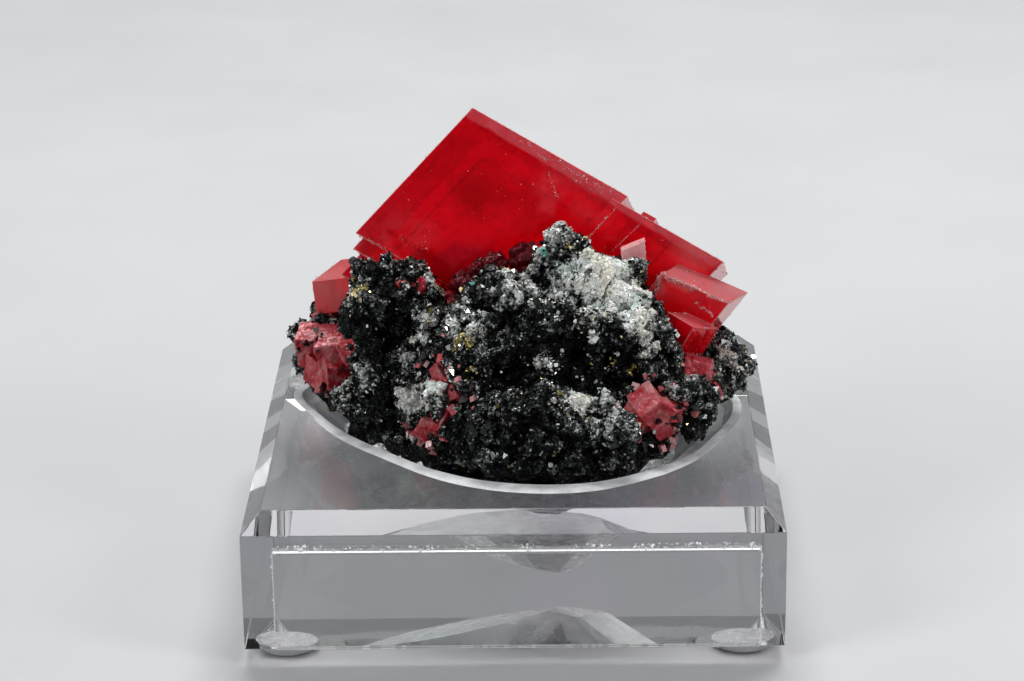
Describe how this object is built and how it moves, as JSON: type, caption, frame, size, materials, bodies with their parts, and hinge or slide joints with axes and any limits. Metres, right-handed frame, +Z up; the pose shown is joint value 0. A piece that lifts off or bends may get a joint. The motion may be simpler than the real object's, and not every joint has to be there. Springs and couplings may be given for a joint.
{
  "type": "rhodochrosite specimen on an acrylic stand",
  "caption": "Red rhombohedral rhodochrosite crystals on black sulphide matrix, seated in the carved top of a bevelled clear acrylic stand with a plain label plate and bumper feet.",
  "frame": {"origin": "centre of the footprint of the stand and its label plate, on the surface that the feet rest on", "axes": "+X to the right and +Y to the back as the label plate faces the viewer, +Z up"},
  "size_m": [0.078, 0.0804, 0.0701],
  "materials": {
    "acrylic": "clear cast acrylic, polished, with a frosted carved pocket",
    "bumper": "clear soft polyurethane, glossy",
    "rhodochrosite": "translucent deep red carbonate crystal, glassy faces with fine steps",
    "pink_rhodochrosite": "milky pink to red carbonate crystal, glassy to pearly",
    "sulphide": "black metallic sulphide grains with grey-white quartz druse and brassy specks"
  },
  "bodies": {
    "root": {"stand": "acrylic", "label_plate": "acrylic", "foot_front_left": "bumper", "foot_front_right": "bumper", "foot_back_left": "bumper", "foot_back_right": "bumper", "matrix": "sulphide", "main_crystal": "rhodochrosite", "upper_pink_crystal": "pink_rhodochrosite", "lower_left_crystals": "pink_rhodochrosite", "right_pink_crystals": "pink_rhodochrosite", "front_right_crystals": "pink_rhodochrosite", "front_left_crystals": "pink_rhodochrosite"}
  },
  "joints": []
}
